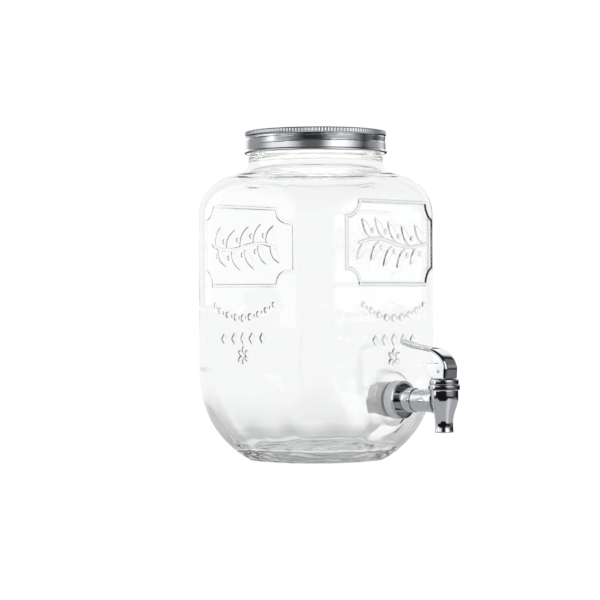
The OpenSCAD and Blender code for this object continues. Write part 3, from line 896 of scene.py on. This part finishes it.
def glass_mat():
    m, nt, p, tc, out = new_mat("clear_glass")
    p.inputs["Transmission Weight"].default_value = 1.0
    p.inputs["IOR"].default_value = 1.5
    p.inputs["Roughness"].default_value = 0.0
    n1 = noise(nt, tc, 14.0, 2.0, 0.45)
    r = ramp(nt, n1.outputs["Fac"], [(0.3, (0.99, 0.993, 0.994, 1)), (0.7, (0.996, 0.998, 1, 1))])
    # painted shade: the glass is greyed by a point attribute, on the ornament's steep sides, a rim of the tap's pad and
    # the heel
    rl = nt.nodes.new("ShaderNodeAttribute")
    rl.attribute_name = "painted_shade"
    painted_shade_tone = ramp(nt, rl.outputs["Fac"], [(0.1, (1, 1, 1, 1)), (1.0, (0.42, 0.44, 0.45, 1))])
    mul = nt.nodes.new("ShaderNodeMix")
    mul.data_type = "RGBA"
    mul.blend_type = "MULTIPLY"
    mul.inputs["Factor"].default_value = 1.0
    nt.links.new(r.outputs[0], mul.inputs["A"])
    nt.links.new(painted_shade_tone.outputs[0], mul.inputs["B"])
    nt.links.new(mul.outputs["Result"], p.inputs["Base Color"])
    # thick glass looks darker than thin glass
    v = nt.nodes.new("ShaderNodeVolumeAbsorption")
    v.inputs["Color"].default_value = (0.0, 0.07, 0.1, 1)
    v.inputs["Density"].default_value = 3.0
    nt.links.new(v.outputs[0], out.inputs["Volume"])
    n2 = noise(nt, tc, 26.0, 2.0, 0.5, (1, 1, 0.45))
    bump(nt, p, n2.outputs["Fac"], 0.12, 0.002)
    return m


def chrome_mat(name, base=(0.57, 0.58, 0.6), rough=(0.02, 0.05), bumps=0.03):
    m, nt, p, tc, out = new_mat(name)
    p.inputs["Metallic"].default_value = 1.0
    n1 = noise(nt, tc, 60.0, 4.0, 0.6)
    r = ramp(nt, n1.outputs["Fac"], [(0.3, tuple(x * 0.97 for x in base) + (1,)), (0.7, base + (1,))])
    nt.links.new(r.outputs[0], p.inputs["Base Color"])
    mr = span_map(nt, n1.outputs["Fac"], rough[0], rough[1])
    nt.links.new(mr.outputs[0], p.inputs["Roughness"])
    n2 = noise(nt, tc, 140.0, 2.0, 0.4)
    bump(nt, p, n2.outputs["Fac"], bumps, 0.0006)
    return m


def tin_mat(name, base=(0.56, 0.575, 0.59)):
    m, nt, p, tc, out = new_mat(name)
    p.inputs["Metallic"].default_value = 1.0
    # rolling marks run round the band, and the plating is faintly mottled
    n1 = noise(nt, tc, 30.0, 5.0, 0.65, (1, 1, 26))
    n2 = noise(nt, tc, 220.0, 3.0, 0.6)
    r = ramp(nt, n2.outputs["Fac"], [(0.25, tuple(x * 0.93 for x in base) + (1,)), (0.75, tuple(x * 1.04 for x in base) + (1,))])
    nt.links.new(r.outputs[0], p.inputs["Base Color"])
    mr = span_map(nt, n1.outputs["Fac"], 0.13, 0.24)
    nt.links.new(mr.outputs[0], p.inputs["Roughness"])
    bump(nt, p, n1.outputs["Fac"], 0.06, 0.0004)
    return m


def soft_mat(name, base, rough=(0.35, 0.55), sub=0.25, trans=0.0, scale=90.0, bumps=0.1):
    m, nt, p, tc, out = new_mat(name)
    n1 = noise(nt, tc, scale, 4.0, 0.6)
    r = ramp(nt, n1.outputs["Fac"], [(0.3, tuple(x * 0.95 for x in base) + (1,)), (0.7, tuple(min(1, x * 1.03) for x in base) + (1,))])
    nt.links.new(r.outputs[0], p.inputs["Base Color"])
    mr = span_map(nt, n1.outputs["Fac"], rough[0], rough[1])
    nt.links.new(mr.outputs[0], p.inputs["Roughness"])
    p.inputs["Subsurface Weight"].default_value = sub
    p.inputs["Subsurface Radius"].default_value = (0.004, 0.004, 0.004)
    p.inputs["Subsurface Scale"].default_value = 1.0
    p.inputs["Transmission Weight"].default_value = trans
    p.inputs["IOR"].default_value = 1.41
    bump(nt, p, n1.outputs["Fac"], bumps, 0.0004)
    return m


glass = glass_mat()
chrome = chrome_mat("chrome_plate")
steel = chrome_mat("bright_steel", (0.6, 0.61, 0.63), (0.16, 0.28), 0.08)
tin = tin_mat("satin_tinplate")
silicone = soft_mat("silicone_grey", (0.72, 0.73, 0.74), (0.3, 0.45), 0.15)
silicone_in = soft_mat("silicone_pale", (0.93, 0.935, 0.94), (0.3, 0.45), 0.12)
plastic = soft_mat("nut_plastic", (0.95, 0.95, 0.95), (0.28, 0.4), 0.12)
black = soft_mat("black_rubber", (0.02, 0.02, 0.02), (0.45, 0.6), 0.0)
lacquer = soft_mat("white_lacquer", (0.91, 0.91, 0.9), (0.3, 0.45), 0.0)
cream = soft_mat("seal_compound", (0.8, 0.8, 0.77), (0.5, 0.65), 0.2)


def paint(ob, *mats):
    ob.data.materials.clear()
    for m in mats:
        ob.data.materials.append(m)


def piece(ob, node, body_name, mat):
    paint(ob, mat)
    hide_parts(node)
    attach(ob, body_name)


piece(jar, "glass_jar", "jar", glass)
piece(band, "lid_band", "lid_ring", tin)
piece(disc, "lid_disc", "lid_plate", tin)
for o in (band, disc):
    o.data.materials.append(lacquer)
lining(band, lambda c, nn: math.hypot(c.x, c.y) < 54.1 and c.z < 256.0 and (nn.x * c.x + nn.y * c.y) < -0.2 * math.hypot(c.x, c.y))
lining(disc, lambda c, nn: nn.z < -0.5)
piece(seal, "lid_seal", "lid_plate", cream)
piece(shank, "tap_shank", "jar", chrome)
piece(w_out, "outer_washer", "jar", silicone)
piece(w_in, "inner_washer", "jar", silicone_in)
piece(nut, "lock_nut", "jar", plastic)
piece(body, "tap_body", "jar", chrome)
piece(collar, "tap_collar", "jar", chrome)
piece(bonnet, "tap_bonnet", "jar", chrome)
piece(lever, "lever", "handle", chrome)
piece(pin, "lever_pin", "stem", steel)
piece(coil, "return_spring", "jar", steel)
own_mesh(coil)
for node, mat in (("valve_stem", steel), ("seat_cup", silicone_in), ("spring_washer", steel), ("stem_seal", black), ("body_o_ring", black)):
    paint(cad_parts[node], mat)

# ------------------------------------------------------------------ studio

AZ = math.radians(-49.4)
to_cam = Vector((math.sin(AZ), -math.cos(AZ), 0))
right = Vector((math.cos(AZ), math.sin(AZ), 0))
DIST, EYE, SHIFT = 1.8055, 0.1248, 0.0128
cam_data = bpy.data.cameras.new("camera")
cam_data.sensor_width = 36
cam_data.lens = 36 * DIST / (600 * 0.000785)
cam_data.clip_start, cam_data.clip_end = 0.05, 50
cam = bpy.data.objects.new("camera", cam_data)
bpy.context.scene.collection.objects.link(cam)
cam.location = to_cam * DIST - right * SHIFT + Vector((0, 0, EYE))
back = to_cam
cam.rotation_mode = "QUATERNION"
q = (-back).to_track_quat("-Z", "Y")
cam.rotation_quaternion = q @ Matrix.Rotation(math.radians(-0.27), 3, "Z").to_quaternion()
bpy.context.scene.camera = cam

# what a lamp or card lights: bright metal, or everything else
metal_set = bpy.data.collections.new("lit_metal")
other_set = bpy.data.collections.new("lit_other")
METALS = [band, shank, body, collar, bonnet, lever, pin, coil] + [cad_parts[k] for k in ("valve_stem", "spring_washer")]
OTHERS = [jar, disc, seal, w_out, w_in, nut] + [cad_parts[k] for k in ("seat_cup", "stem_seal", "body_o_ring")]
for o in METALS:
    metal_set.objects.link(o)
for o in OTHERS:
    other_set.objects.link(o)


def smooth01(x):
    x = max(0.0, min(1.0, x))
    return x * x * (3 - 2 * x)


def glow(name, verts, faces, levels, colour, group):
    """A stage surface that adds light and lets what lies behind it through. levels holds its strength at each vertex."""
    me = bpy.data.meshes.new(name)
    me.from_pydata(verts, [], faces)
    at = me.attributes.new("level", "FLOAT", "POINT")
    at.data.foreach_set("value", levels)
    o = bpy.data.objects.new(name, me)
    bpy.context.scene.collection.objects.link(o)
    m, nt, p, tc, out = new_mat(name)
    nt.nodes.remove(p)
    e = nt.nodes.new("ShaderNodeEmission")
    e.inputs[0].default_value = colour
    lv = nt.nodes.new("ShaderNodeAttribute")
    lv.attribute_name = "level"
    nt.links.new(lv.outputs["Fac"], e.inputs[1])
    tr = nt.nodes.new("ShaderNodeBsdfTransparent")
    ad = nt.nodes.new("ShaderNodeAddShader")
    nt.links.new(e.outputs[0], ad.inputs[0])
    nt.links.new(tr.outputs[0], ad.inputs[1])
    nt.links.new(ad.outputs[0], out.inputs[0])
    paint(o, m)
    o.visible_camera = False
    o.visible_diffuse = False
    o.visible_transmission = False
    o.visible_shadow = False
    o.visible_volume_scatter = False
    o.light_linking.receiver_collection = group
    return o


def card(name, az0, az1, el0, el1, value, fa=8.0, fe=6.0, fb=None, radius=1.2, group=None):
    """A soft-edged light on a sphere round the object, seen only in reflections. Azimuths are in degrees from the camera, to the
    right in its picture, and elevations in degrees; fa and fe are how far its edges fade, and fb is its right edge's."""
    fb = fb or fa
    na, ne = max(6, int((az1 - az0 + fa + fb) / 3)), max(4, int((el1 - el0 + 2 * fe) / 3))
    v, f, lv = [], [], []
    for i in range(na + 1):
        da = az0 - fa + (az1 - az0 + fa + fb) * i / na
        a = AZ + math.radians(da)
        for j in range(ne + 1):
            de = el0 - fe + (el1 - el0 + 2 * fe) * j / ne
            e = math.radians(de)
            v.append((math.sin(a) * math.cos(e) * radius, -math.cos(a) * math.cos(e) * radius, 0.11 + math.sin(e) * radius))
            ka = smooth01((da - az0 + fa) / (2 * fa)) * smooth01((az1 + fb - da) / (2 * fb))
            ke = smooth01((de - el0 + fe) / (2 * fe)) * smooth01((el1 + fe - de) / (2 * fe))
            lv.append(value * ka * ke)
    for i in range(na):
        for j in range(ne):
            q = i * (ne + 1) + j
            f.append((q, q + ne + 1, q + ne + 2, q + 1))
    return glow("card_" + name, v, f, lv, (1, 1, 1.02, 1), group or metal_set)


# floor: white to the camera, and the metal sees a pool of light on it
# levels of the painted floor shadow seen by the glass: far from the foot, and near it
FAR, SHADOW_NEAR = 0.95, 0.58
fl = bpy.data.meshes.new("floor")
R = 30.0
fl.from_pydata([(-R, -R, 0), (R, -R, 0), (R, R, 0), (-R, R, 0)], [], [(0, 1, 2, 3)])
floor = bpy.data.objects.new("floor", fl)
bpy.context.scene.collection.objects.link(floor)
fm, fnt, fp, ftc, fout = new_mat("floor_white")
fp.inputs["Base Color"].default_value = (0.012, 0.012, 0.012, 1)
fp.inputs["Roughness"].default_value = 0.95
fp.inputs["Specular IOR Level"].default_value = 0.0
fp.inputs["Emission Color"].default_value = (1, 1, 1, 1)
fp.inputs["Emission Strength"].default_value = 1.0
paint(floor, fm)

# painted shadow: a dimmer glowing disc on the floor under the foot, seen through the glass base
cd = bpy.data.meshes.new("painted_shadow_under_foot")
cd.from_pydata([(0.0435 * math.cos(math.radians(6 * i)), 0.0435 * math.sin(math.radians(6 * i)), 0.0001) for i in range(60)], [], [tuple(range(60))])
under = bpy.data.objects.new("painted_shadow_under_foot", cd)
bpy.context.scene.collection.objects.link(under)
um, unt, up_, utc, uout = new_mat("floor_painted_shadow")
up_.inputs["Base Color"].default_value = (0.012, 0.012, 0.012, 1)
up_.inputs["Roughness"].default_value = 0.95
up_.inputs["Specular IOR Level"].default_value = 0.0
up_.inputs["Emission Color"].default_value = (0.97, 1, 0.99, 1)
up_.inputs["Emission Strength"].default_value = 0.58
paint(under, um)
under.light_linking.receiver_collection = other_set
# the floor itself is bright to the camera only; what glass and plastic see of it carries a painted shadow, darker close
# to the foot
camera_only = bpy.data.collections.new("lit_by_floor")
camera_only.objects.link(under)
floor.light_linking.receiver_collection = camera_only
sr = [0.0479, 0.07, 0.11, 0.16, 0.2, 0.24, 0.28, 0.33, 0.38, 0.44, 0.5, 0.6, 0.7, 0.8, 0.95, 1.1, 1.4, 2, 4, 8, 16, 29]
sv, sf_, sl = [], [], []
for i, r in enumerate(sr + [0]):
    for j in range(72):
        t = 2 * math.pi * j / 72
        if r == 0:
            r2 = R / max(abs(math.cos(t)), abs(math.sin(t)))
            sv.append((r2 * math.cos(t), r2 * math.sin(t), 0.0002))
            sl.append(FAR)
        else:
            sv.append((r * math.cos(t), r * math.sin(t), 0.0002))
            sl.append(float(np.interp(r, [0.0, 0.2, 0.28, 0.37, 0.49, 0.8, 1.1], [SHADOW_NEAR, SHADOW_NEAR, 0.71, 0.81, 0.88, 0.94, FAR])))
for i in range(len(sr)):
    for j in range(72):
        k = (j + 1) % 72
        sf_.append((i * 72 + j, i * 72 + k, (i + 1) * 72 + k, (i + 1) * 72 + j))
# painted shadow: a glowing sheet over the floor, dimmer towards the foot
seen = glow("floor_seen_painted_shadow", sv, sf_, sl, (1, 1, 1, 1), other_set)
seen.visible_diffuse = True
seen.visible_transmission = True

pool_r = [0.01 + 0.018 * i for i in range(14)] + [0.26 + 0.04 * i for i in range(19)]
pv, pf, pl = [], [], []
for i, r in enumerate(pool_r):
    for j in range(96):
        t = 2 * math.pi * j / 96
        pv.append((r * math.cos(t), -0.125 + r * math.sin(t), 0.0006))
        # it ends sooner towards the camera, and is brightest to its right
        da = math.degrees((math.atan2(math.cos(t), -math.sin(t)) - AZ + math.pi) % (2 * math.pi) - math.pi)
        c = 1 - smooth01((abs(da + 14) - 24) / 26)
        gain = 0.6 + 0.45 * math.exp(-((da - 36) / 17) ** 2)
        side = 0.24 * math.exp(-((da - 101) / 24) ** 2) * (1 - smooth01((r - 0.75) / 0.2))
        pl.append(max(side, gain * (1 - smooth01((r - 0.28 + 0.165 * c) / (0.42 - 0.35 * c)))))
for i in range(len(pool_r) - 1):
    for j in range(96):
        k = (j + 1) % 96
        pf.append((i * 96 + j, i * 96 + k, (i + 1) * 96 + k, (i + 1) * 96 + j))
glow("floor_pool", pv, pf, pl, (1, 1.01, 1.04, 1), metal_set)

# a pale dome for the glass to reflect
dv, df = [], []
for i in range(13):
    e = math.radians(-0.2 + 90.2 * i / 12.5)
    for j in range(36):
        a = 2 * math.pi * j / 36
        dv.append((29 * math.cos(e) * math.cos(a), 29 * math.cos(e) * math.sin(a), 29 * math.sin(e)))
for i in range(12):
    for j in range(36):
        k = (j + 1) % 36
        df.append((i * 36 + j, i * 36 + k, (i + 1) * 36 + k, (i + 1) * 36 + j))
dv.append((0, 0, 29.1))
for j in range(36):
    df.append((12 * 36 + j, 12 * 36 + (j + 1) % 36, len(dv) - 1))
glow("pale_dome", dv, df, [0.93] * len(dv), (1, 1, 1, 1), other_set)

world = bpy.data.worlds.new("studio")
bpy.context.scene.world = world
world.use_nodes = True
wn = world.node_tree
wn.nodes.clear()
wo = wn.nodes.new("ShaderNodeOutputWorld")
bg = wn.nodes.new("ShaderNodeBackground")
bg.inputs[0].default_value = (1, 1, 1, 1)
bg.inputs[1].default_value = 1.02
dim = wn.nodes.new("ShaderNodeBackground")
dim.inputs[0].default_value = (0.018, 0.02, 0.022, 1)
dim.inputs[1].default_value = 1.0
# light that came through the glass: the height ramp below gives the same level overhead as at the horizon
through = wn.nodes.new("ShaderNodeBackground")
wtc = wn.nodes.new("ShaderNodeTexCoord")
wsp = wn.nodes.new("ShaderNodeSeparateXYZ")
wmr = wn.nodes.new("ShaderNodeMapRange")
wmr.interpolation_type = "SMOOTHSTEP"
wmr.inputs["From Min"].default_value = 0.4
wmr.inputs["From Max"].default_value = 0.85
wmr.inputs["To Min"].default_value = 1.0
wmr.inputs["To Max"].default_value = 1.0
wn.links.new(wtc.outputs["Generated"], wsp.inputs[0])
wn.links.new(wsp.outputs["Z"], wmr.inputs[0])
through.inputs[0].default_value = (1, 1, 1, 1)


def toward(az, el, a0, a1, v0, v1):
    """A level that changes from v0 to v1 as the direction comes within a1 degrees of az, el, starting a0 degrees away."""
    a, e = AZ + math.radians(az), math.radians(el)
    dot = wn.nodes.new("ShaderNodeVectorMath")
    dot.operation = "DOT_PRODUCT"
    dot.inputs[1].default_value = (math.sin(a) * math.cos(e), -math.cos(a) * math.cos(e), math.sin(e))
    wn.links.new(wtc.outputs["Generated"], dot.inputs[0])
    mr = wn.nodes.new("ShaderNodeMapRange")
    mr.interpolation_type = "SMOOTHSTEP"
    mr.inputs["From Min"].default_value = math.cos(math.radians(a0))
    mr.inputs["From Max"].default_value = math.cos(math.radians(a1))
    mr.inputs["To Min"].default_value = v0
    mr.inputs["To Max"].default_value = v1
    wn.links.new(dot.outputs["Value"], mr.inputs[0])
    return mr.outputs[0]


def maths(op, a, b):
    n = wn.nodes.new("ShaderNodeMath")
    n.operation = op
    wn.links.new(a, n.inputs[0])
    wn.links.new(b, n.inputs[1])
    return n.outputs[0]


# dimmer to the sides, with one bright panel far to the left
level = maths("MULTIPLY", wmr.outputs[0], toward(180, 0, 60, 18, 0.82, 0.97))
level = maths("ADD", level, toward(-94, 8, 40, 24, 0.0, 1.15))
wn.links.new(level, through.inputs[1])
lp = wn.nodes.new("ShaderNodeLightPath")
mixt = wn.nodes.new("ShaderNodeMixShader")
wn.links.new(lp.outputs["Is Transmission Ray"], mixt.inputs[0])
wn.links.new(bg.outputs[0], mixt.inputs[1])
wn.links.new(through.outputs[0], mixt.inputs[2])
mixw = wn.nodes.new("ShaderNodeMixShader")
only = wn.nodes.new("ShaderNodeMath")
only.operation = "SUBTRACT"
only.use_clamp = True
wn.links.new(lp.outputs["Is Glossy Ray"], only.inputs[0])
wn.links.new(lp.outputs["Is Transmission Ray"], only.inputs[1])
wn.links.new(only.outputs[0], mixw.inputs[0])
wn.links.new(mixt.outputs[0], mixw.inputs[1])
wn.links.new(dim.outputs[0], mixw.inputs[2])
wn.links.new(mixw.outputs[0], wo.inputs[0])

card("left_box", -90, -33, -1.5, 34, 1.45, 18, 2, 16)
card("left_low", -116, -70, -10, 1, 1.9, 6, 3)
card("left_side", -150, -100, -4, 30, 0.45, 12, 6)
card("left_rim", -178, -146, 1, 18, 0.9, 10, 4)
card("right_box", 18, 63, -1.5, 40, 2.0, 12, 2, 24)
card("lid_side", 88, 110, 1, 15, 0.2, 6, 3)
card("right_rim", 116, 150, 6, 15, 0.9, 14, 2)
card("bend_soft", 92, 117, 7, 38, 0.2, 4, 4)
card("right_low", 22, 76, -9, -3, 0.5, 7, 1.5, 26)
card("front_high", -38, 16, 9, 40, 0.2, 6, 2)
card("right_side", 92, 106, -9, 10, 0.04, 5, 3)
card("back_soft", 132, 215, 14, 48, 1.35, 8, 6)

# a soft lamp that lights the white inside of the lid, as the pale surroundings would
lid_set = bpy.data.collections.new("lit_lid_inside")
for o in (band, disc, seal):
    lid_set.objects.link(o)
ld = bpy.data.lights.new("lid_fill", "POINT")
ld.energy = 0.8
ld.shadow_soft_size = 0.03
lid_fill = bpy.data.objects.new("lid_fill", ld)
bpy.context.scene.collection.objects.link(lid_fill)
lid_fill.location = (0, 0, 0.13)
lid_fill.visible_camera = False
lid_fill.visible_glossy = False
lid_fill.visible_transmission = False
lid_fill.light_linking.receiver_collection = lid_set
lid_fill.light_linking.blocker_collection = lid_set

bpy.context.scene.view_settings.view_transform = "Standard"
# light runs along inside the thick base, so its paths are long
bpy.context.scene.cycles.max_bounces = 32
bpy.context.scene.cycles.glossy_bounces = 20
bpy.context.scene.cycles.transmission_bounces = 24
